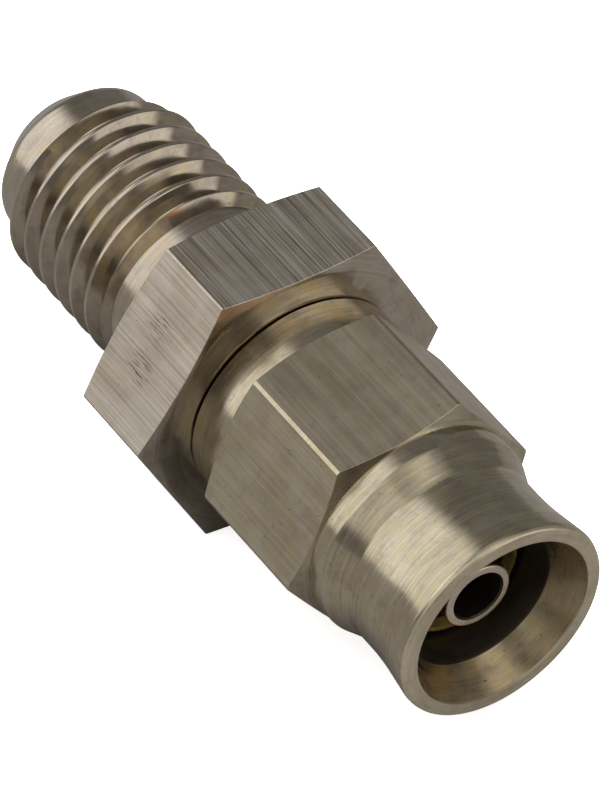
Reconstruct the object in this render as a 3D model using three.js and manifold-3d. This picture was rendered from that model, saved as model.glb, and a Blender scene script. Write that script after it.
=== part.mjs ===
// Straight hose end fitting for small braided hose: a one-piece adapter body, a loose brass
// compression olive and a screwed socket nut with a bell mouth.
// Millimetres, +Z up. The fitting lies on one flat of its body hexagon with its axis along X
// and the bell mouth towards +X.
import * as THREE from "three";
import ManifoldModule from "manifold-3d";

const wasm = await ManifoldModule();
wasm.setup();
const { Manifold, Mesh } = wasm;

// ---------------------------------------------------------------- driving dimensions
// Stations are measured along the axis from the bell mouth towards the stud.
const LENGTH = 35.15;
const BODY_FLATS = 13.9;
const BODY_CORNER_R = 8;
const NUT_FLATS = 11;
const NUT_CORNER_R = 6.27;
const NUT_TURN = 9.53; // degrees the nut hexagon stands round from the body hexagon

// stud, M10 x 1.25 right-hand
const STUD = { pitch: 1.25, crestR: 4.94, rootR: 4.2, crestFlat: 0.18, rootFlat: 0.216 };
const STUD_PHASE = -10.976; // X of a crest on the +Y side
const STUD_START = 24.2;
const STUD_END = 32.15;
const RELIEF_R = 4.45;
const DOG_R = 4.14;

// spigot and socket nut, M9 x 1 right-hand
const SPIGOT = { pitch: 1, crestR: 4.44, rootR: 3.84, crestFlat: 0.137, rootFlat: 0.17 };
const SPIGOT_PHASE = 5;
const SPIGOT_TIP = 7.4;
const SPIGOT_END = 15.2;
const THREAD_GAP = 0.12; // radial clearance of the nut thread
const FLANK_GAP = 0.139; // extra groove width of the nut thread

// body hexagon
const HEX_FRONT = 16.1;
const HEX_BACK = 21.08;

// hose tail and bores
const TAIL_START = 1.85;
const TAIL_R = 1.67;
const BORE_R = 1.25;
const SEAT_FLOOR = 9.6;

// nut
const NUT_END = 15.8;
const COLLAR_R = 5.4;
const BARREL_R = 5.38;
const WAIST_R = 4.87;
const THROAT_R = 3.25;
const NUT_BORE_R = SPIGOT.rootR + THREAD_GAP;

// olive
const OLIVE_R = 2.98;
const OLIVE_BORE_R = 2.45;
const OLIVE_FRONT = 3.1;
const OLIVE_BACK = 9.2;

const ROUND = 48; // sides of a turned surface
const THREAD_ROUND = 36; // sides of a thread

const xAt = (station) => LENGTH / 2 - station;
const radians = (degrees) => (degrees * Math.PI) / 180;

// ---------------------------------------------------------------- solids and booleans

// Welds a geometry's corners into one closed manifold solid that faces outwards.
function solid(geometry) {
  const position = geometry.getAttribute("position");
  const corners = geometry.index ? Array.from(geometry.index.array) : [...Array(position.count).keys()];
  const known = new Map();
  const points = [];
  const weld = corners.map((corner) => {
    const point = [position.getX(corner), position.getY(corner), position.getZ(corner)];
    const key = point.map((value) => Math.round(value * 1e5)).join(",");
    if (!known.has(key)) {
      known.set(key, points.length / 3);
      points.push(...point);
    }
    return known.get(key);
  });
  const triangles = [];
  for (let i = 0; i < weld.length; i += 3) {
    const [a, b, c] = weld.slice(i, i + 3);
    if (a !== b && b !== c && c !== a) {
      triangles.push(a, b, c);
    }
  }
  if (signedVolume(points, triangles) < 0) {
    for (let i = 0; i < triangles.length; i += 3) {
      [triangles[i + 1], triangles[i + 2]] = [triangles[i + 2], triangles[i + 1]];
    }
  }
  return new Manifold(
    new Mesh({
      numProp: 3,
      vertProperties: new Float32Array(points),
      triVerts: new Uint32Array(triangles),
    }),
  );
}

function signedVolume(points, triangles) {
  const corner = (index) => new THREE.Vector3().fromArray(points, index * 3);
  let volume = 0;
  for (let i = 0; i < triangles.length; i += 3) {
    const [a, b, c] = triangles.slice(i, i + 3).map(corner);
    volume += a.dot(b.cross(c)) / 6;
  }
  return volume;
}

// A solid turned about X from [station, radius] pairs.
function turned(profile, sides = ROUND) {
  const points = profile.map(([station, radius]) => new THREE.Vector2(radius, xAt(station)));
  const geometry = new THREE.LatheGeometry(points, sides);
  geometry.rotateZ(-Math.PI / 2);
  return solid(geometry);
}

// A hexagonal prism with corners towards +Y and -Y, turned about X by some degrees.
function hexBar(flats, from, to, turn) {
  const geometry = new THREE.CylinderGeometry(flats / Math.sqrt(3), flats / Math.sqrt(3), to - from, 6);
  geometry.rotateZ(-Math.PI / 2);
  geometry.rotateX(radians(turn + 90));
  geometry.translate(xAt((from + to) / 2), 0, 0);
  return solid(geometry);
}

// A long right-hand screw about X. It is cut to length and chamfered by what it is joined with.
function screw(thread, phase, from, to) {
  const { pitch, crestR, rootR, crestFlat, rootFlat } = thread;
  const flank = (pitch - crestFlat - rootFlat) / 2;
  const steps = [
    [-crestFlat / 2, crestR],
    [crestFlat / 2, crestR],
    [crestFlat / 2 + flank, rootR],
    [crestFlat / 2 + flank + rootFlat, rootR],
  ];
  const firstTurn = Math.floor((xAt(to) - phase) / pitch) - 2;
  const turns = Math.ceil((to - from) / pitch) + 3;
  const rings = turns * steps.length;
  const points = [];
  const put = (column, ring) => {
    const [offset, radius] = steps[ring % steps.length];
    const turn = firstTurn + Math.floor(ring / steps.length) + column / THREAD_ROUND;
    const angle = (2 * Math.PI * column) / THREAD_ROUND;
    points.push(phase + turn * pitch + offset, radius * Math.cos(angle), radius * Math.sin(angle));
  };
  for (let ring = 0; ring <= rings + steps.length; ring += 1) {
    put(0, ring);
  }
  for (let column = 1; column < THREAD_ROUND; column += 1) {
    for (let ring = 0; ring <= rings; ring += 1) {
      put(column, ring);
    }
  }
  const at = (column, ring) => {
    if (column === 0) {
      return ring;
    }
    if (column === THREAD_ROUND) {
      return ring + steps.length;
    }
    return rings + steps.length + 1 + (column - 1) * (rings + 1) + ring;
  };
  const faces = [];
  for (let column = 0; column < THREAD_ROUND; column += 1) {
    for (let ring = 0; ring < rings; ring += 1) {
      faces.push(at(column, ring), at(column + 1, ring), at(column + 1, ring + 1));
      faces.push(at(column, ring), at(column + 1, ring + 1), at(column, ring + 1));
    }
  }
  for (const end of [0, rings]) {
    const edge = [];
    for (let column = 0; column <= THREAD_ROUND; column += 1) {
      edge.push(at(column, end));
    }
    for (let ring = end + steps.length - 1; ring > end; ring -= 1) {
      edge.push(at(0, ring));
    }
    const centre = points.length / 3;
    const centreTurn = firstTurn + end / steps.length + 0.5;
    points.push(phase + centreTurn * pitch, 0, 0);
    edge.forEach((corner, index) => {
      const next = edge[(index + 1) % edge.length];
      faces.push(...(end === 0 ? [centre, next, corner] : [centre, corner, next]));
    });
  }
  const geometry = new THREE.BufferGeometry();
  geometry.setAttribute("position", new THREE.Float32BufferAttribute(points, 3));
  geometry.setIndex(faces);
  return solid(geometry);
}

function finished(name, shape, colour, roughness) {
  const mesh = shape.getMesh();
  const geometry = new THREE.BufferGeometry();
  geometry.setAttribute("position", new THREE.Float32BufferAttribute(mesh.vertProperties, 3));
  geometry.setIndex(Array.from(mesh.triVerts));
  geometry.translate(0, 0, BODY_FLATS / 2);
  const flat = geometry.toNonIndexed();
  flat.computeVertexNormals();
  const material = new THREE.MeshStandardMaterial({ color: colour, metalness: 1, roughness });
  const node = new THREE.Mesh(flat, material);
  node.name = name;
  return node;
}

// ---------------------------------------------------------------- adapter body

// Hexagon whose corners are turned down to a steep chamfer on both faces.
function bodyHexagon() {
  const faceR = 6.75;
  const envelope = turned([
    [HEX_FRONT, 0],
    [HEX_FRONT, faceR],
    [HEX_FRONT + 0.26, BODY_CORNER_R],
    [HEX_BACK - 0.34, BODY_CORNER_R],
    [HEX_BACK, faceR],
    [HEX_BACK, 0],
  ]);
  return hexBar(BODY_FLATS, HEX_FRONT - 1, HEX_BACK + 1, 0).intersect(envelope);
}

// Relief, thread and dog point of the M10 stud.
function stud() {
  const threaded = screw(STUD, STUD_PHASE, STUD_START, STUD_END).intersect(
    turned([
      [STUD_START - 0.5, 0],
      [STUD_START - 0.5, STUD.rootR - 0.2],
      [STUD_START + 0.35, STUD.crestR + 0.02],
      [STUD_END - 0.45, STUD.crestR + 0.02],
      [STUD_END, DOG_R],
      [STUD_END + 0.2, DOG_R - 0.3],
      [STUD_END + 0.2, 0],
    ]),
  );
  const shank = turned([
    [HEX_BACK - 0.5, 0],
    [HEX_BACK - 0.5, RELIEF_R + 0.55],
    [HEX_BACK, RELIEF_R + 0.55],
    [HEX_BACK + 0.55, RELIEF_R],
    [STUD_START - 0.1, RELIEF_R],
    [STUD_START + 0.15, STUD.rootR - 0.05],
    [STUD_END - 0.1, STUD.rootR - 0.05],
    [STUD_END, DOG_R],
    [LENGTH - 1.42, DOG_R],
    [LENGTH - 1.2, DOG_R - 0.15],
    [LENGTH, DOG_R - 1.38],
    [LENGTH, 0],
  ]);
  return threaded.add(shank);
}

// Threaded spigot with the tapered seat for the olive, and the hose tail standing out of it.
function spigot() {
  const threaded = screw(SPIGOT, SPIGOT_PHASE, SPIGOT_TIP, SPIGOT_END).intersect(
    turned([
      [SPIGOT_TIP, 0],
      [SPIGOT_TIP, SPIGOT.rootR - 0.05],
      [SPIGOT_TIP + 0.6, SPIGOT.crestR + 0.02],
      [SPIGOT_END - 0.5, SPIGOT.crestR + 0.02],
      [SPIGOT_END + 0.1, SPIGOT.rootR - 0.05],
      [SPIGOT_END + 0.1, 0],
    ]),
  );
  const core = turned([
    [SPIGOT_TIP + 0.3, 0],
    [SPIGOT_TIP + 0.3, SPIGOT.rootR - 0.05],
    [HEX_FRONT + 0.5, SPIGOT.rootR - 0.05],
    [HEX_FRONT + 0.5, 0],
  ]);
  const seat = turned([
    [SPIGOT_TIP - 1, 0],
    [SPIGOT_TIP - 1, 3.33],
    [SEAT_FLOOR, 2.56],
    [SEAT_FLOOR, 0],
  ]);
  const tail = turned([
    [TAIL_START, 0],
    [TAIL_START, TAIL_R - 0.1],
    [TAIL_START + 0.1, TAIL_R],
    [SEAT_FLOOR + 0.5, TAIL_R],
    [SEAT_FLOOR + 0.5, 0],
  ]);
  return threaded.add(core).subtract(seat).add(tail);
}

// The through bore, eased at the tail and opened to a cone seat in the stud.
function fluidBore() {
  return turned([
    [TAIL_START - 1, 0],
    [TAIL_START - 1, BORE_R + 0.95],
    [TAIL_START + 0.15, BORE_R + 0.05],
    [TAIL_START + 0.25, BORE_R],
    [LENGTH - 0.95, BORE_R],
    [LENGTH + 1, BORE_R + 1.95],
    [LENGTH + 1, 0],
  ]);
}

function adapterBody() {
  const shape = bodyHexagon().add(stud()).add(spigot()).subtract(fluidBore());
  return finished("adapter_body", shape, 0xa39d8e, 0.38);
}

// ---------------------------------------------------------------- compression olive

function compressionOlive() {
  const shape = turned([
    [OLIVE_FRONT, OLIVE_BORE_R + 0.27],
    [OLIVE_FRONT, OLIVE_R - 0.12],
    [OLIVE_FRONT + 0.12, OLIVE_R],
    [6.6, OLIVE_R],
    [OLIVE_BACK, 2.35],
    [OLIVE_BACK, 2.05],
    [OLIVE_BACK - 1, 2.05],
    [OLIVE_BACK - 1, OLIVE_BORE_R],
    [OLIVE_FRONT + 0.35, OLIVE_BORE_R],
    [OLIVE_FRONT, OLIVE_BORE_R + 0.27],
  ]);
  return finished("compression_olive", shape, 0xc2a24e, 0.35);
}

// ---------------------------------------------------------------- socket nut

// Hexagon of the nut, chamfered down to the barrel in front and to the collar behind.
function nutHexagon() {
  const envelope = turned([
    [6.88, 0],
    [6.88, BARREL_R],
    [7.2, NUT_CORNER_R],
    [13.66, NUT_CORNER_R],
    [14.04, COLLAR_R],
    [14.04, 0],
  ]);
  return hexBar(NUT_FLATS, 5, 15, NUT_TURN).intersect(envelope);
}

// Everything round on the outside of the nut: bell, waist, barrel and rear collar.
function nutTurning() {
  return turned([
    [0, 0],
    [0, 5.0],
    [0.07, 5.12],
    [0.25, 5.19],
    [0.8, 5.16],
    [1.5, 5.03],
    [2.3, 4.92],
    [3.1, WAIST_R],
    [4.6, WAIST_R],
    [5.95, BARREL_R],
    [7.5, BARREL_R],
    [7.5, COLLAR_R - 0.4],
    [13.6, COLLAR_R - 0.4],
    [13.6, COLLAR_R],
    [NUT_END - 0.2, COLLAR_R],
    [NUT_END, COLLAR_R - 0.2],
    [NUT_END, 0],
  ]);
}

// The bell mouth, throat and plain bore that the screw thread is cut into.
function nutBore() {
  return turned([
    [-1, 0],
    [-1, 4.5],
    [0, 4.5],
    [0.1, 4.42],
    [1.65, 3.55],
    [3.0, THROAT_R],
    [6.6, THROAT_R],
    [6.9, NUT_BORE_R - 0.2],
    [NUT_END - 1, NUT_BORE_R - 0.2],
    [NUT_END, SPIGOT.crestR + 0.4],
    [NUT_END + 1, SPIGOT.crestR + 0.4],
    [NUT_END + 1, 0],
  ]);
}

// The spigot thread grown by its working clearance, so that the two never touch.
function nutThread() {
  const grown = {
    pitch: SPIGOT.pitch,
    crestR: SPIGOT.crestR + THREAD_GAP,
    rootR: NUT_BORE_R,
    crestFlat: SPIGOT.crestFlat + FLANK_GAP,
    rootFlat: SPIGOT.rootFlat - FLANK_GAP,
  };
  const reach = turned([
    [7.1, 0],
    [7.1, grown.rootR],
    [7.5, grown.crestR + 0.02],
    [NUT_END + 1, grown.crestR + 0.02],
    [NUT_END + 1, 0],
  ]);
  return screw(grown, SPIGOT_PHASE, 7, NUT_END + 1).intersect(reach);
}

function socketNut() {
  const shape = nutTurning().add(nutHexagon()).subtract(nutBore()).subtract(nutThread());
  return finished("socket_nut", shape, 0x9c968a, 0.34);
}

// ---------------------------------------------------------------- assembly

const group = new THREE.Group();
group.name = "hose_end_fitting";
group.add(adapterBody(), compressionOlive(), socketNut());

export default group;
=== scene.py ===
"""Straight hose end fitting: a steel adapter body, a brass olive and a steel socket nut.

Each fine surface stands for one CAD solid and follows its dimensions. It differs in its eased
edges, in real threads, and in the nut, which is screwed home against the body hexagon and has
slightly fuller hexagon corners. Shapes are worked out in millimetres, with stations measured
from the bell mouth along the axis, and turned into metres at the end.
"""
import math

import bmesh
import bpy
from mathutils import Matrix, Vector


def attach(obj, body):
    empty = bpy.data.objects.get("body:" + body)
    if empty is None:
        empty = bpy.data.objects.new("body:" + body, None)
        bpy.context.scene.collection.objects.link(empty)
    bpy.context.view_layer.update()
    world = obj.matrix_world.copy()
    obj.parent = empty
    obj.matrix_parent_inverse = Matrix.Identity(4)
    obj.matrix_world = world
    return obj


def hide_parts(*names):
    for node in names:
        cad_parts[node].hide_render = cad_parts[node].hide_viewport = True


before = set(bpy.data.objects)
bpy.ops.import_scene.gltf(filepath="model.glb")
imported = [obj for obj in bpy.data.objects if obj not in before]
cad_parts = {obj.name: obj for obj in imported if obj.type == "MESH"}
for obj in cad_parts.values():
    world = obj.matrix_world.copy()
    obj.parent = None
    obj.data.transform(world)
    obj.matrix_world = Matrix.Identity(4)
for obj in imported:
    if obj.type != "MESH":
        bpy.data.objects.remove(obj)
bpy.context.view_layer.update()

# ---------------------------------------------------------------- adapter body, mm
LENGTH = 35.15
BORE_R = 1.25

BODY_FLATS = 13.9
BODY_CORNER_R = 8.0
BODY_FACE_R = 6.75
HEX_FRONT = 16.1
HEX_BACK = 21.08
AXIS_HEIGHT = BODY_FLATS / 2  # the fitting lies on a flat of the body hexagon

STUD = {"pitch": 1.25, "crest_r": 4.94, "root_r": 4.2, "crest_flat": 0.18, "root_flat": 0.216}
STUD_PHASE = -10.976
STUD_START = 24.2
STUD_END = 32.15
RELIEF_R = 4.45
RELIEF_STEP = 0.55  # the relief groove's rise to the body hexagon
DOG_R = 4.14
DOG_CHAMFER = 1.38
CONE_SEAT = 0.95

SPIGOT = {"pitch": 1.0, "crest_r": 4.44, "root_r": 3.84, "crest_flat": 0.137, "root_flat": 0.17}
SPIGOT_PHASE = 5.0
SPIGOT_TIP = 7.4
SPIGOT_END = 15.2

TAIL_START = 1.85
TAIL_R = 1.67
TAIL_COUNTERSINK = 0.06
SEAT_FLOOR = 9.6
SEAT_FLOOR_R = 2.56
SEAT_MOUTH_R = 3.12

# ---------------------------------------------------------------- compression olive, mm
OLIVE_R = 2.98
OLIVE_BORE_R = 2.45
OLIVE_FRONT = 3.1
OLIVE_FRONT_R = OLIVE_BORE_R + 0.27
OLIVE_TAPER = 6.6
OLIVE_BACK = 9.2
OLIVE_BACK_R = 2.35
OLIVE_NECK_R = 2.05
OLIVE_NECK = 1

# ---------------------------------------------------------------- socket nut, mm
NUT_FLATS = 11.0
NUT_CORNER_R = 6.3
NUT_TURN = 9.53  # degrees from the body hexagon
NUT_END = 16.04  # screwed home, almost against the body hexagon
NUT_HEX_FRONT = 6.88
NUT_HEX_BACK = 14.04
COLLAR_START = 13.6
COLLAR_R = 5.4
COLLAR_CHAMFER = 0.4
BARREL_START = 5.95
BARREL_END = 7.5
BARREL_R = 5.38
WAIST_START = 3.2
WAIST_END = 4.7
WAIST_R = 4.87
LIP_R = 5.1
MOUTH_R = 4.42
CONE_END = 1.65
CONE_END_R = 3.55
THROAT_START = 3.0
THROAT_END = 6.6
THROAT_R = 3.25
NUT_BORE_START = 6.9
NUT_THREAD_START = 7.1
NUT_THREAD_FULL = 7.5
THREAD_GAP = 0.12
FLANK_GAP = 0.139
NUT_WALL_R = 4.8  # between the root of the nut thread and the outside of its turning

# ---------------------------------------------------------------- corners and fineness, mm
SHARP = 0
CRISP = 0.03
BROKEN = 0.05
ROUNDED = 0.14
FULL = 0.3
SUNK = 0.05  # a core lies this far under the roots of its thread
TRIM = 0.02  # room between a thread's crests and the envelope that trims it
BURIED = 0.5  # length by which a turning runs on inside its hexagon
HOLLOW_R = 3.0  # inner radius of rings whose inside is hidden in another solid

ROUND = 224  # sides of a turned surface
THREAD_ROUND = 180  # sides of a thread
THREAD_EASE_STEPS = 3
FLAT_STEPS = 32  # columns across a hexagon's flat
FLAT_ROWS = 6  # rows along a hexagon's flat
CREASE = 12  # degrees, above which an edge is shaded sharp
METRES = 0.001

# ---------------------------------------------------------------- material slots
DRAWN = 1
COARSE = 2
BODY_THREAD = 3
BODY_INSIDE = 4
BODY_TIP_HIGHLIGHT = 5
OLIVE_INSIDE = 1
NUT_INSIDE = 2
NUT_MOUTH = 3
NUT_LIP_HIGHLIGHT = 4

# ---------------------------------------------------------------- colours
ADAPTER = (0.54, 0.49, 0.42)
NUT = (0.53, 0.48, 0.37)
BRASS = (0.92, 0.70, 0.22)
# painted shade: a dark brass colour for the olive's bore
BRASS_PAINTED_SHADE = (0.2, 0.14, 0.05)
PAINTED_SHADE = (0.09, 0.075, 0.06)  # painted shade: a dark colour for surfaces deep inside, where little light reaches
PIT = (0.03, 0.025, 0.02)

# Tints multiply a metal's own colour.
CLOUD_TINT = (0.86, 0.83, 0.8)
STRAW_TINT = (1.02, 0.92, 0.66)
BROWN_TINT = (0.74, 0.64, 0.6)
LIGHT_MARK_TINT = (1.5, 1.55, 1.6)
DARK_MARK_TINT = (0.34, 0.33, 0.32)
SCRATCH_TINT = (0.2, 0.19, 0.18)
COARSE_TINT = (1.25, 1.25, 1.25)
THREAD_TINT = (0.82, 0.81, 0.78)
# painted highlight: a brighter tint for the end ring of the hose tail
TIP_HIGHLIGHT_TINT = (1.45, 1.42, 1.38)
# painted shade in the mouth cone: a darker tint, under its real stains and pits
MOUTH_SHADE_TINT = (0.74, 0.68, 0.58)
# painted highlight: a brighter tint for the front face of the nut's lip
LIP_HIGHLIGHT_TINT = (1.3, 1.3, 1.3)

SCRATCHED_PLACES = [(-1.2, -5.5, 4.35), (-1.2, -6.5, 2.55)]  # on the body's left flat, mm

# ---------------------------------------------------------------- camera and studio
CAMERA_AT = (0.164235, -0.124092, 0.207464)  # metres
CAMERA_TURN = (45.444, -3.492, 56.019)  # degrees
CAMERA_LENS = 292.5
SENSOR_WIDTH = 36

FLOOR_HALF = 1.5
FLOOR_WHITE = (0.9, 0.9, 0.9, 1)
FLOOR_GLOW = 0.72
TABLE_GREY = (0.17, 0.165, 0.16, 1)

LAMP_WIDTH = 1.2
LAMP_POWER = 17
LAMP_HEIGHT = 0.9

# Soft panels: azimuth, elevation, inner and outer reach in degrees, strength.
PANELS = [
    (-142, 27, 26, 42, 1.0),
    (38, 20, 22, 27, 0.95),
    (22, 62, 12, 24, 0.6),
    (-86, 42, 18, 32, 0.6),
    (0, 90, 12, 36, 0.4),
]
COPPER_PANEL = (9, 38, 6, 9, 1.1)
STUDIO_BASE = 0.2
STUDIO_WHITE = (1.0, 0.985, 0.96)
COPPER = (1.0, 0.45, 0.2)


# ---------------------------------------------------------------- mesh making
def x_at(station):
    return LENGTH / 2 - station


def around(x, radius, angle):
    """The point at x along the axis, at a radius from it and an angle round it."""
    return (x, radius * math.cos(angle), radius * math.sin(angle))


def eased(points, steps=8):
    """Rounds the corners of an open line of (station, radius, easing) points."""
    line = []
    for index, (station, radius, ease) in enumerate(points):
        here = Vector((station, radius))
        if ease == 0 or index in (0, len(points) - 1):
            line.append(here)
            continue
        before = Vector(points[index - 1][:2]) - here
        after = Vector(points[index + 1][:2]) - here
        reach = min(ease, 0.45 * before.length, 0.45 * after.length)
        start = here + before.normalized() * reach
        end = here + after.normalized() * reach
        for count in range(steps + 1):
            t = count / steps
            line.append(start * (1 - t) ** 2 + here * 2 * t * (1 - t) + end * t**2)
    return [(point.x, point.y) for point in line]


def turned(points, closed=False, sides=ROUND):
    """A solid turned about X from an eased line, which starts and ends on the axis or closes."""
    shape = bmesh.new()
    rings = []
    for station, radius in eased(points):
        if radius < 1e-6:
            rings.append([shape.verts.new((x_at(station), 0, 0))] * sides)
            continue
        angles = [2 * math.pi * side / sides for side in range(sides)]
        rings.append([shape.verts.new(around(x_at(station), radius, angle)) for angle in angles])
    pairs = list(zip(rings, rings[1:]))
    if closed:
        pairs.append((rings[-1], rings[0]))
    for near, far in pairs:
        for side in range(sides):
            after = (side + 1) % sides
            corners = list(dict.fromkeys([near[side], near[after], far[after], far[side]]))
            if len(corners) > 2:
                shape.faces.new(corners)
    bmesh.ops.recalc_face_normals(shape, faces=shape.faces)
    return shape


def paint(shape, slot, chosen):
    """Gives a material slot to the faces whose middle (station, radius) is chosen."""
    for face in shape.faces:
        middle = face.calc_center_median()
        if chosen(LENGTH / 2 - middle.x, math.hypot(middle.y, middle.z)):
            face.material_index = slot
    return shape


def thread_profile(thread):
    """One turn of a thread's eased profile, as (offset, radius) points."""
    crest, root = thread["crest_flat"], thread["root_flat"]
    flank = (thread["pitch"] - crest - root) / 2
    corners = [
        (-crest / 2, thread["crest_r"], 0.05),
        (crest / 2, thread["crest_r"], 0.05),
        (crest / 2 + flank, thread["root_r"], 0.1),
        (crest / 2 + flank + root, thread["root_r"], 0.1),
    ]
    three_turns = []
    for turn in (-1, 0, 1):
        for offset, radius, ease in corners:
            three_turns.append((offset + turn * thread["pitch"], radius, ease))
    line = eased(three_turns, THREAD_EASE_STEPS)
    per_corner = THREAD_EASE_STEPS + 1
    first = 1 + (len(corners) - 1) * per_corner  # the first corner of all isn't eased
    return line[first : first + len(corners) * per_corner]


def screw(thread, phase, start, end):
    """A long right-hand screw about X with eased crests and roots, closed at both ends."""
    pitch = thread["pitch"]
    profile = thread_profile(thread)
    count = len(profile)
    first_turn = math.floor((x_at(end) - phase) / pitch) - 2
    turns = math.ceil((end - start) / pitch) + 3
    last = turns * count
    shape = bmesh.new()

    def column(side, rings):
        made = []
        for ring in range(rings + 1):
            offset, radius = profile[ring % count]
            turn = first_turn + ring // count + side / THREAD_ROUND
            angle = 2 * math.pi * side / THREAD_ROUND
            made.append(shape.verts.new(around(phase + turn * pitch + offset, radius, angle)))
        return made

    seam = column(0, last + count)
    columns = [seam[: last + 1]] + [column(side, last) for side in range(1, THREAD_ROUND)]
    columns.append(seam[count:])
    for near, far in zip(columns, columns[1:]):
        for ring in range(last):
            shape.faces.new((near[ring], far[ring], far[ring + 1], near[ring + 1]))
    first_rise = seam[count - 1 : 0 : -1]
    last_rise = seam[last + count - 1 : last : -1]
    for ring, rise in ((0, first_rise), (last, last_rise)):
        edge = [line[ring] for line in columns] + rise
        turn = first_turn + ring // count + 0.5
        centre = shape.verts.new((phase + turn * pitch, 0, 0))
        for here, after in zip(edge, edge[1:] + edge[:1]):
            shape.faces.new((centre, here, after))
    bmesh.ops.recalc_face_normals(shape, faces=shape.faces)
    return shape


def hexagon_outline(flats, corner_r, turn):
    """Points round a hexagon with round corners, as (angle, radius, side), side -1 on a corner."""
    half = flats / 2
    half_width = math.sqrt(corner_r**2 - half**2)
    half_angle = math.atan2(half_width, half)
    land = math.pi / 6 - half_angle
    corner_steps = 4
    outline = []
    for side in range(6):
        normal = math.radians(60 * side + 30 + turn)
        for column in range(FLAT_STEPS + 1):
            across = half_width * math.sin(math.pi * (column / FLAT_STEPS - 0.5))
            outline.append((normal + math.atan2(across, half), math.hypot(half, across), side))
        for column in range(1, corner_steps):
            angle = normal + half_angle + 2 * land * column / corner_steps
            outline.append((angle, corner_r, -1))
    return outline


def hexagon_rows(radius, corner_r, inner_r, rim):
    """One column of a hexagon, as (station, radius) points from front bore to back bore."""
    front_reach = rim["front_rise"] * (radius - rim["front_r"]) / (corner_r - rim["front_r"])
    back_reach = rim["back_rise"] * (radius - rim["back_r"]) / (corner_r - rim["back_r"])
    start, end = rim["front"] + front_reach, rim["back"] - back_reach
    along_flat = [(start + (end - start) * row / FLAT_ROWS, radius) for row in range(1, FLAT_ROWS)]
    return [
        (rim["front"], inner_r),
        (rim["front"], rim["front_r"]),
        (rim["front"] + front_reach / 2, (rim["front_r"] + radius) / 2),
        (start, radius),
        *along_flat,
        (end, radius),
        (rim["back"] - back_reach / 2, (rim["back_r"] + radius) / 2),
        (rim["back"], rim["back_r"]),
        (rim["back"], inner_r),
    ]


def hexagon(flats, corner_r, inner_r, turn, rim, coarse_side=None):
    """A hexagonal ring with turned-down corners, as bow-edged flats between two cones.

    Each end of rim is flat out to its radius and then a cone that moves its rise by the time it
    reaches corner_r. inner_r is buried in the turning that the ring belongs to, so that the ring
    fills no bore.
    """
    outline = hexagon_outline(flats, corner_r, turn)
    first_flat_row = 3
    shape = bmesh.new()
    columns = []
    for angle, radius, _ in outline:
        rows = hexagon_rows(radius, corner_r, inner_r, rim)
        columns.append([shape.verts.new(around(x_at(station), r, angle)) for station, r in rows])
    for index, near in enumerate(columns):
        far = columns[(index + 1) % len(columns)]
        side = outline[index][2]
        on_flat = side >= 0 and side == outline[(index + 1) % len(columns)][2]
        for row in range(len(near)):
            after = (row + 1) % len(near)
            face = shape.faces.new((near[row], near[after], far[after], far[row]))
            if on_flat and first_flat_row <= row < first_flat_row + FLAT_ROWS:
                face.material_index = COARSE if side == coarse_side else DRAWN
    bmesh.ops.recalc_face_normals(shape, faces=shape.faces)
    return shape


def as_object(shape, name):
    mesh = bpy.data.meshes.new(name)
    shape.to_mesh(mesh)
    shape.free()
    thing = bpy.data.objects.new(name, mesh)
    bpy.context.scene.collection.objects.link(thing)
    return thing


def modified(thing):
    """The shape of an object after its modifiers; the object itself goes."""
    bpy.context.view_layer.update()
    result = thing.evaluated_get(bpy.context.evaluated_depsgraph_get())
    shape = bmesh.new()
    shape.from_mesh(result.to_mesh())
    result.to_mesh_clear()
    mesh = thing.data
    bpy.data.objects.remove(thing)
    bpy.data.meshes.remove(mesh)
    return shape


def combined(shape, tool, operation):
    """The exact boolean of two shapes, which are both used up."""
    thing, cutter = as_object(shape, "shape"), as_object(tool, "tool")
    change = thing.modifiers.new("cut", "BOOLEAN")
    change.operation = operation
    change.solver = "EXACT"
    change.object = cutter
    result = modified(thing)
    mesh = cutter.data
    bpy.data.objects.remove(cutter)
    bpy.data.meshes.remove(mesh)
    return result


def softened(shape, width):
    """Breaks the sharp edges of a shape by a small width."""
    thing = as_object(shape, "shape")
    change = thing.modifiers.new("edges", "BEVEL")
    change.width = width
    change.segments = 2
    change.limit_method = "ANGLE"
    change.angle_limit = math.radians(24)
    change.use_clamp_overlap = True
    return modified(thing)


def piece(name, shapes, node, body, materials):
    """Joins shapes into one piece in metres that stands for a CAD node and rides its body."""
    joined = bmesh.new()
    for shape in shapes:
        part = bpy.data.meshes.new("part")
        shape.to_mesh(part)
        shape.free()
        joined.from_mesh(part)
        bpy.data.meshes.remove(part)
    for vertex in joined.verts:
        vertex.co = Vector((vertex.co.x, vertex.co.y, vertex.co.z + AXIS_HEIGHT)) * METRES
    thing = as_object(joined, name)
    for material in materials:
        thing.data.materials.append(material)
    thing.data.shade_smooth()
    thing.data.set_sharp_from_angle(angle=math.radians(CREASE))
    change = thing.modifiers.new("normals", "WEIGHTED_NORMAL")
    change.keep_sharp = True
    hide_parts(node)
    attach(thing, body)


# ---------------------------------------------------------------- node helpers
def connect(tree, socket, value):
    """Feeds an input from another node's output, or sets it to a plain value."""
    if isinstance(value, bpy.types.NodeSocket):
        tree.links.new(value, socket)
    else:
        socket.default_value = value


def add(tree, kind, settings=None, **inputs):
    """Adds a node. Inputs are given by name, or by place as i0, i1 and so on."""
    made = tree.nodes.new(kind)
    for key, value in (settings or {}).items():
        setattr(made, key, value)
    for key, value in inputs.items():
        by_place = key[0] == "i" and key[1:].isdigit()
        name = int(key[1:]) if by_place else key.replace("_", " ")
        connect(tree, made.inputs[name], value)
    return made


def maths(tree, operation, first, second):
    return add(tree, "ShaderNodeMath", {"operation": operation}, i0=first, i1=second).outputs[0]


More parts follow.
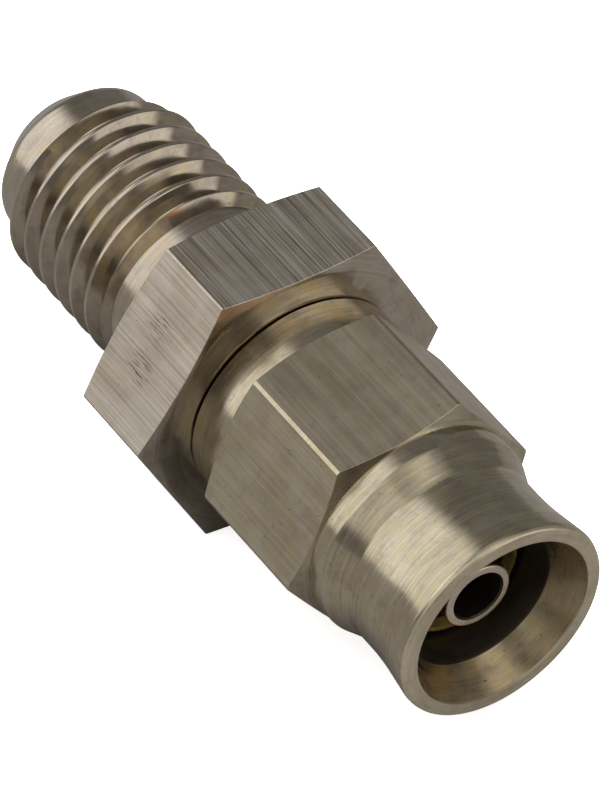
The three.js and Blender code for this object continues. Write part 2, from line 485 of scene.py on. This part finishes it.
def vector_maths(tree, operation, first, second=(0, 0, 0), output="Vector"):
    made = add(tree, "ShaderNodeVectorMath", {"operation": operation}, i0=first, i1=second)
    return made.outputs[output]


def noise(tree, vector, scale=1.0, detail=2.0, roughness=0.5):
    made = add(
        tree, "ShaderNodeTexNoise", Vector=vector, Scale=scale, Detail=detail, Roughness=roughness
    )
    return made.outputs["Fac"]


def step(tree, value, low, high, to_low=0.0, to_high=1.0):
    """A smooth step from low to high."""
    made = add(
        tree,
        "ShaderNodeMapRange",
        {"interpolation_type": "SMOOTHSTEP"},
        Value=value,
        From_Min=low,
        From_Max=high,
        To_Min=to_low,
        To_Max=to_high,
    )
    return made.outputs["Result"]


def blend(tree, factor, first, second):
    """Mixes two colours, each a plain (red, green, blue) or another node's output."""
    made = tree.nodes.new("ShaderNodeMix")
    made.data_type = "RGBA"
    first_colour, second_colour = 6, 7  # the node keeps a pair of inputs for each data type
    connect(tree, made.inputs["Factor"], factor)
    for place, colour in ((first_colour, first), (second_colour, second)):
        plain = isinstance(colour, tuple)
        connect(tree, made.inputs[place], (*colour, 1.0) if plain else colour)
    return made.outputs[2]


def new_tree(name):
    material = bpy.data.materials.new(name)
    material.use_nodes = True
    material.node_tree.nodes.clear()
    return material, material.node_tree


def fitting_millimetres(tree):
    """Position on the fitting in millimetres, with the axis at zero height."""
    place = add(tree, "ShaderNodeTexCoord").outputs["Object"]
    mapped = add(
        tree,
        "ShaderNodeMapping",
        Vector=place,
        Location=(0, 0, -AXIS_HEIGHT),
        Scale=(1000, 1000, 1000),
    )
    return mapped.outputs["Vector"]


def lathe_direction(tree, place, fine, slow):
    """Coordinates that change fast along the profile and slowly round the axis."""
    across = vector_maths(tree, "MULTIPLY", place, (0, 1, 1))
    radius = vector_maths(tree, "LENGTH", across, output="Value")
    along = add(tree, "ShaderNodeSeparateXYZ", Vector=place).outputs["X"]
    way = maths(tree, "ADD", along, radius)
    turn = add(tree, "ShaderNodeSeparateXYZ", Vector=vector_maths(tree, "NORMALIZE", across))
    return add(
        tree,
        "ShaderNodeCombineXYZ",
        X=maths(tree, "MULTIPLY", way, fine),
        Y=maths(tree, "MULTIPLY", turn.outputs["Y"], slow),
        Z=maths(tree, "MULTIPLY", turn.outputs["Z"], slow),
    ).outputs["Vector"]


# ---------------------------------------------------------------- materials
def tinted(colour, tint):
    return tuple(channel * share for channel, share in zip(colour, tint))


def turned_grain(tree, place, fine):
    """Tool marks that run round the axis."""
    return lathe_direction(tree, place, fine, 2.5)


def drawn_grain(tree, place, fine):
    """Tool marks that run along the bar."""
    return vector_maths(tree, "MULTIPLY", place, (0.12, fine * 0.8, fine * 0.8))


def clouded(tree, place, mottle, colour, stain):
    """The metal's colour in soft clouds, with straw and brown stains of a given strength."""
    cloud = noise(tree, place, 0.45, 3.0, 0.55)
    base = blend(tree, step(tree, cloud, 0.38, 0.62), tinted(colour, CLOUD_TINT), colour)
    straw = maths(tree, "MULTIPLY", step(tree, mottle, 0.47, 0.66), stain)
    base = blend(tree, straw, base, tinted(colour, STRAW_TINT))
    brown = maths(tree, "MULTIPLY", step(tree, mottle, 0.5, 0.32), stain)
    return blend(tree, brown, base, tinted(colour, BROWN_TINT))


def marked(tree, base, fine, colour, lines):
    """Light and dark tool marks over a base colour."""
    for end, tint in ((0.68, LIGHT_MARK_TINT), (0.32, DARK_MARK_TINT)):
        marks = maths(tree, "MULTIPLY", step(tree, fine, 0.5, end), lines)
        base = blend(tree, marks, base, tinted(colour, tint))
    return base


def scratched(tree, base, place, middle, colour):
    """A cluster of short dark scratches near a middle."""
    away = vector_maths(tree, "DISTANCE", place, middle, "Value")
    streaks = noise(tree, vector_maths(tree, "MULTIPLY", place, (1.1, 14, 14)))
    near = maths(tree, "MULTIPLY", step(tree, away, 1.1, 0.3), step(tree, streaks, 0.53, 0.6))
    strength = maths(tree, "MULTIPLY", near, 0.8)
    return blend(tree, strength, base, tinted(colour, SCRATCH_TINT))


def metal(name, colour, grain, lines, relief, rough, stain=0.3, pits=0.5, scratches=()):
    """Machined metal, with tool marks along grain(tree, place, fine).

    lines is the contrast of the marks, relief their depth in microns, stain the strength of
    the straw and brown stains, pits that of the small pits, and scratches the middles of places
    with short dark scratches.
    """
    material, tree = new_tree(name)
    place = fitting_millimetres(tree)
    fine = noise(tree, grain(tree, place, 11.0), 1.0, 3.0, 0.6)
    wide = noise(tree, grain(tree, place, 2.5))
    mottle = noise(tree, vector_maths(tree, "ADD", place, (7, 3, 5)), 1.3, 5.0, 0.65)
    specks = noise(tree, place, 6.5, 2.0, 0.6)

    base = clouded(tree, place, mottle, colour, stain)
    base = marked(tree, base, fine, colour, lines)
    pitted = maths(tree, "MULTIPLY", step(tree, specks, 0.31, 0.25), pits)
    base = blend(tree, pitted, base, PIT)
    for middle in scratches:
        base = scratched(tree, base, place, middle, colour)

    roughness = maths(tree, "ADD", step(tree, wide, 0.3, 0.7, -0.05, 0.05), rough)
    height = maths(tree, "ADD", fine, maths(tree, "MULTIPLY", mottle, 0.4))
    height = maths(tree, "SUBTRACT", height, maths(tree, "MULTIPLY", pitted, 1.5))
    bump = add(tree, "ShaderNodeBump", Strength=1.0, Distance=relief * 1e-6, Height=height)
    shader = add(
        tree,
        "ShaderNodeBsdfPrincipled",
        Base_Color=base,
        Metallic=1.0,
        Roughness=roughness,
        Normal=bump.outputs["Normal"],
    )
    add(tree, "ShaderNodeOutputMaterial", Surface=shader.outputs["BSDF"])
    return material


# ---------------------------------------------------------------- adapter body
def adapter_core():
    """Hose tail, spigot core, stud and dog point with the bore through them, in one turning."""
    spigot_core_r = SPIGOT["root_r"] - SUNK
    stud_core_r = STUD["root_r"] - SUNK
    shoulder_r = RELIEF_R + RELIEF_STEP
    return turned(
        [
            (TAIL_START, BORE_R + TAIL_COUNTERSINK, SHARP),
            (TAIL_START, TAIL_R, ROUNDED),
            (SEAT_FLOOR, TAIL_R, BROKEN),
            (SEAT_FLOOR, SEAT_FLOOR_R, BROKEN),
            (SPIGOT_TIP, SEAT_MOUTH_R, CRISP),
            (SPIGOT_TIP, spigot_core_r, CRISP),
            (HEX_FRONT + BURIED, spigot_core_r, SHARP),
            (HEX_BACK - BURIED, shoulder_r, SHARP),
            (HEX_BACK + 0.02, shoulder_r, SHARP),
            (HEX_BACK + RELIEF_STEP, RELIEF_R, 0.4),
            (STUD_START - 0.1, RELIEF_R, BROKEN),
            (STUD_START + 0.15, stud_core_r, SHARP),
            (STUD_END - 0.1, stud_core_r, SHARP),
            (STUD_END, DOG_R, SHARP),
            (LENGTH - DOG_CHAMFER, DOG_R, 0.35),
            (LENGTH, DOG_R - DOG_CHAMFER, 0.08),
            (LENGTH, BORE_R + CONE_SEAT, BROKEN),
            (LENGTH - CONE_SEAT, BORE_R, BROKEN),
            (TAIL_START + 0.1, BORE_R, SHARP),
        ],
        closed=True,
    )


def trimmed_thread(thread, phase, start, end, envelope):
    """A male thread trimmed to an envelope, with its flanks and roots in the thread's slot."""
    shape = combined(screw(thread, phase, start, end), turned(envelope, closed=True), "INTERSECT")
    return paint(shape, BODY_THREAD, lambda station, radius: radius < thread["crest_r"] - TRIM)


def stud_thread():
    run_in = STUD_START - 0.5
    run_out = STUD_END + 0.2
    envelope = [
        (run_in, HOLLOW_R, SHARP),
        (run_in, STUD["root_r"] - 0.2, SHARP),
        (STUD_START + 0.35, STUD["crest_r"] + TRIM, SHARP),
        (STUD_END - 0.45, STUD["crest_r"] + TRIM, SHARP),
        (STUD_END, DOG_R, SHARP),
        (run_out, DOG_R - 0.3, SHARP),
        (run_out, HOLLOW_R, SHARP),
    ]
    return trimmed_thread(STUD, STUD_PHASE, STUD_START, STUD_END, envelope)


def spigot_thread():
    core_r = SPIGOT["root_r"] - SUNK
    hidden_r = SPIGOT["root_r"] - 0.4
    tip = SPIGOT_TIP + 0.05
    run_out = SPIGOT_END + 0.1
    envelope = [
        (tip, hidden_r, SHARP),
        (tip, core_r, SHARP),
        (SPIGOT_TIP + 0.6, SPIGOT["crest_r"] + TRIM, SHARP),
        (SPIGOT_END - 0.5, SPIGOT["crest_r"] + TRIM, SHARP),
        (run_out, core_r, SHARP),
        (run_out, hidden_r, SHARP),
    ]
    return trimmed_thread(SPIGOT, SPIGOT_PHASE, SPIGOT_TIP, SPIGOT_END, envelope)


def adapter_materials():
    coarse = tinted(ADAPTER, COARSE_TINT)
    thread = tinted(ADAPTER, THREAD_TINT)
    tip = tinted(ADAPTER, TIP_HIGHLIGHT_TINT)
    drawn = {"lines": 0.36, "relief": 2.5, "rough": 0.34, "stain": 0.2}
    return [
        metal("adapter_turned", ADAPTER, turned_grain, lines=0.2, relief=1.5, rough=0.2, stain=0.6),
        metal("adapter_drawn", ADAPTER, drawn_grain, **drawn, scratches=SCRATCHED_PLACES),
        metal("adapter_coarse", coarse, drawn_grain, lines=0.75, relief=7.0, rough=0.34, stain=0.2),
        metal("adapter_thread", thread, turned_grain, lines=0.15, relief=1.5, rough=0.16, stain=0.7),
        # painted shade for the bore, the hose tail and the seat round it
        metal("adapter_painted_shade", PAINTED_SHADE, turned_grain, lines=0.1, relief=2.0, rough=0.5),
        # painted highlight on the end ring of the hose tail
        metal("adapter_tip_highlight", tip, turned_grain, lines=0.15, relief=1.5, rough=0.3),
    ]


def adapter_body():
    core = adapter_core()
    bore_end = LENGTH - 1
    tail_root = TAIL_START + 1
    tip_end = TAIL_START + 0.3
    # Painted shade: the bore, and the hose tail with the seat round it, get a dark colour.
    paint(core, BODY_INSIDE, lambda station, radius: radius < BORE_R + 0.1 and station < bore_end)
    paint(core, BODY_INSIDE, lambda station, radius: tail_root < station < SEAT_FLOOR)
    # Painted highlight: the end ring of the hose tail is brighter, as if it caught the light.
    paint(core, BODY_TIP_HIGHLIGHT, lambda station, radius: station < tip_end and radius > BORE_R + 0.03)
    rim = {
        "front": HEX_FRONT,
        "front_r": BODY_FACE_R,
        "front_rise": 0.26,
        "back": HEX_BACK,
        "back_r": BODY_FACE_R,
        "back_rise": 0.34,
    }
    upper_side = 1
    ring = hexagon(BODY_FLATS, BODY_CORNER_R, HOLLOW_R, 0, rim, coarse_side=upper_side)
    hexed = softened(ring, 0.03)
    materials = adapter_materials()
    shapes = [core, stud_thread(), spigot_thread(), hexed]
    piece("adapter_surface", shapes, "adapter_body", "adapter", materials)


# ---------------------------------------------------------------- compression olive
def compression_olive():
    neck = OLIVE_BACK - OLIVE_NECK
    shape = turned(
        [
            (OLIVE_FRONT, OLIVE_FRONT_R, SHARP),
            (OLIVE_FRONT, OLIVE_R, 0.12),
            (OLIVE_TAPER, OLIVE_R, FULL),
            (OLIVE_BACK, OLIVE_BACK_R, BROKEN),
            (OLIVE_BACK, OLIVE_NECK_R, CRISP),
            (neck, OLIVE_NECK_R, CRISP),
            (neck, OLIVE_BORE_R, CRISP),
            (OLIVE_FRONT + 0.35, OLIVE_BORE_R, SHARP),
        ],
        closed=True,
    )
    # Painted shade: the olive's bore gets a dark brass colour.
    paint(shape, OLIVE_INSIDE, lambda station, radius: radius < OLIVE_BORE_R + 0.3)
    materials = [
        metal("olive_turned", BRASS, turned_grain, lines=0.1, relief=2.0, rough=0.28, pits=0.3),
        # painted shade for the olive's bore
        metal("olive_painted_shade", BRASS_PAINTED_SHADE, turned_grain, lines=0.1, relief=2.0, rough=0.5),
    ]
    piece("olive_surface", [shape], "compression_olive", "olive", materials)


# ---------------------------------------------------------------- socket nut
def nut_turning():
    """Bell, waist, barrel and collar outside; mouth cone, throat and bore inside."""
    core_r = COLLAR_R - COLLAR_CHAMFER
    bore_r = SPIGOT["root_r"] + THREAD_GAP - 0.2
    bell = [
        (0.0, 4.45, SHARP),
        (0.0, LIP_R, ROUNDED),
        (0.3, 5.2, FULL),
        (1.5, 5.03, 0.6),
        (2.3, 4.92, 0.4),
    ]
    outside = [
        (WAIST_START, WAIST_R, FULL),
        (WAIST_END, WAIST_R, 0.15),
        (BARREL_START, BARREL_R, 0.1),
        (BARREL_END, BARREL_R, SHARP),
        (BARREL_END, core_r, SHARP),
        (COLLAR_START, core_r, SHARP),
        (COLLAR_START, COLLAR_R, SHARP),
        (NUT_END, COLLAR_R, 0.12),
    ]
    inside = [
        (NUT_END, SPIGOT["crest_r"] + 0.4, BROKEN),
        (NUT_END - 1, bore_r, SHARP),
        (NUT_BORE_START, bore_r, SHARP),
        (THROAT_END, THROAT_R, BROKEN),
        (THROAT_START, THROAT_R, 0.4),
        (CONE_END, CONE_END_R, 0.08),
        (0.1, MOUTH_R, SHARP),
    ]
    return turned(bell + outside + inside, closed=True)


def nut_thread():
    """The spigot thread grown by its working clearance, from the inner shoulder to the end."""
    grown = {
        "pitch": SPIGOT["pitch"],
        "crest_r": SPIGOT["crest_r"] + THREAD_GAP,
        "root_r": SPIGOT["root_r"] + THREAD_GAP,
        "crest_flat": SPIGOT["crest_flat"] + FLANK_GAP,
        "root_flat": SPIGOT["root_flat"] - FLANK_GAP,
    }
    before_start = NUT_THREAD_START - 0.1
    past_end = NUT_END + 1
    reach = turned(
        [
            (NUT_THREAD_START, 0, SHARP),
            (NUT_THREAD_START, grown["root_r"], SHARP),
            (NUT_THREAD_FULL, grown["crest_r"] + TRIM, SHARP),
            (past_end, grown["crest_r"] + TRIM, SHARP),
            (past_end, 0, SHARP),
        ]
    )
    return combined(screw(grown, SPIGOT_PHASE, before_start, past_end), reach, "INTERSECT")


def nut_materials():
    mouth = tinted(NUT, MOUTH_SHADE_TINT)
    lip_highlight = tinted(NUT, LIP_HIGHLIGHT_TINT)
    bright = {"lines": 0.26, "relief": 2.5, "rough": 0.18, "stain": 0.6, "pits": 0.7}
    drawn = {"lines": 0.2, "relief": 2.0, "rough": 0.35, "stain": 0.4, "pits": 0.7}
    worn = {"lines": 0.15, "relief": 3.0, "rough": 0.28, "stain": 0.9, "pits": 1.0}
    return [
        metal("nut_turned", NUT, turned_grain, **bright),
        metal("nut_drawn", NUT, drawn_grain, **drawn),
        # painted shade for the throat, bore and thread inside the nut
        metal("nut_painted_shade", PAINTED_SHADE, turned_grain, lines=0.1, relief=2.0, rough=0.5),
        metal("nut_mouth", mouth, turned_grain, **worn),
        # painted highlight on the front face of the lip
        metal("nut_lip_highlight", lip_highlight, turned_grain, lines=0.2, relief=3.0, rough=0.4, stain=0.4),
    ]


def socket_nut():
    shell = combined(nut_turning(), nut_thread(), "DIFFERENCE")
    cone_edge_r = MOUTH_R + 0.01
    cone_back = 1.6
    # Painted shade: the throat, bore and thread inside the nut get a dark colour.
    paint(shell, NUT_INSIDE, lambda station, radius: station > cone_back and radius < 4.7)
    # The mouth cone is darker: painted shade, together with real stains and pits.
    paint(shell, NUT_MOUTH, lambda station, radius: station < cone_back and radius < cone_edge_r)
    # Painted highlight: the front face of the lip is brighter.
    paint(shell, NUT_LIP_HIGHLIGHT, lambda station, radius: station < 0.2 and radius > cone_edge_r)
    rim = {
        "front": NUT_HEX_FRONT,
        "front_r": BARREL_R,
        "front_rise": 0.32,
        "back": NUT_HEX_BACK,
        "back_r": COLLAR_R - 0.02,
        "back_rise": 0.38,
    }
    hexed = softened(hexagon(NUT_FLATS, NUT_CORNER_R, NUT_WALL_R, NUT_TURN, rim), 0.02)
    piece("nut_surface", [shell, hexed], "socket_nut", "nut", nut_materials())


# ---------------------------------------------------------------- camera, floor and light
def camera():
    data = bpy.data.cameras.new("camera")
    data.lens = CAMERA_LENS
    data.sensor_width = SENSOR_WIDTH
    data.clip_start = 0.01
    data.clip_end = 10
    thing = bpy.data.objects.new("camera", data)
    thing.location = CAMERA_AT
    thing.rotation_euler = [math.radians(angle) for angle in CAMERA_TURN]
    bpy.context.scene.collection.objects.link(thing)
    bpy.context.scene.camera = thing


def floor():
    """A white floor, which the metal sees as the pale grey of a table."""
    shape = bmesh.new()
    bmesh.ops.create_grid(shape, x_segments=1, y_segments=1, size=FLOOR_HALF)
    thing = as_object(shape, "floor")
    material, tree = new_tree("floor_white")
    white = add(
        tree,
        "ShaderNodeBsdfPrincipled",
        Base_Color=FLOOR_WHITE,
        Roughness=0.8,
        Emission_Color=(1, 1, 1, 1),
        Emission_Strength=FLOOR_GLOW,
    )
    grey = add(tree, "ShaderNodeBsdfDiffuse", Color=TABLE_GREY)
    seen_in_metal = add(tree, "ShaderNodeLightPath").outputs["Is Glossy Ray"]
    shader = add(
        tree,
        "ShaderNodeMixShader",
        i0=seen_in_metal,
        i1=white.outputs["BSDF"],
        i2=grey.outputs["BSDF"],
    )
    add(tree, "ShaderNodeOutputMaterial", Surface=shader.outputs["Shader"])
    thing.data.materials.append(material)


def direction(azimuth, elevation):
    azimuth, elevation = math.radians(azimuth), math.radians(elevation)
    flat = math.cos(elevation)
    return (flat * math.cos(azimuth), flat * math.sin(azimuth), math.sin(elevation))


def soft_panel(tree, way, azimuth, elevation, inner, outer, strength=1.0):
    """A round panel: full strength within inner degrees of its middle, none beyond outer."""
    facing = vector_maths(tree, "DOT_PRODUCT", way, direction(azimuth, elevation), "Value")
    low, high = math.cos(math.radians(outer)), math.cos(math.radians(inner))
    return step(tree, facing, low, high, 0.0, strength)


def surroundings():
    """A dim studio with a few soft panels and a small copper-coloured one."""
    world = bpy.data.worlds.new("studio")
    bpy.context.scene.world = world
    world.use_nodes = True
    tree = world.node_tree
    tree.nodes.clear()
    way = add(tree, "ShaderNodeTexCoord").outputs["Generated"]
    total = STUDIO_BASE
    for panel in PANELS:
        total = maths(tree, "ADD", soft_panel(tree, way, *panel), total)
    *copper_place, copper_strength = COPPER_PANEL
    copper = soft_panel(tree, way, *copper_place)
    colour = blend(tree, copper, STUDIO_WHITE, COPPER)
    total = maths(tree, "ADD", maths(tree, "MULTIPLY", copper, copper_strength), total)
    glow = add(tree, "ShaderNodeBackground", Color=colour, Strength=total)
    add(tree, "ShaderNodeOutputWorld", Surface=glow.outputs["Background"])


def overhead_light():
    """A wide lamp that whitens the floor; the metal doesn't mirror it."""
    data = bpy.data.lights.new("overhead", "AREA")
    data.shape = "DISK"
    data.size = LAMP_WIDTH
    data.energy = LAMP_POWER
    thing = bpy.data.objects.new("overhead", data)
    thing.location = (0, 0, LAMP_HEIGHT)
    thing.visible_glossy = False
    bpy.context.scene.collection.objects.link(thing)


bpy.context.scene.view_settings.view_transform = "Standard"
camera()
adapter_body()
compression_olive()
socket_nut()
floor()
surroundings()
overhead_light()
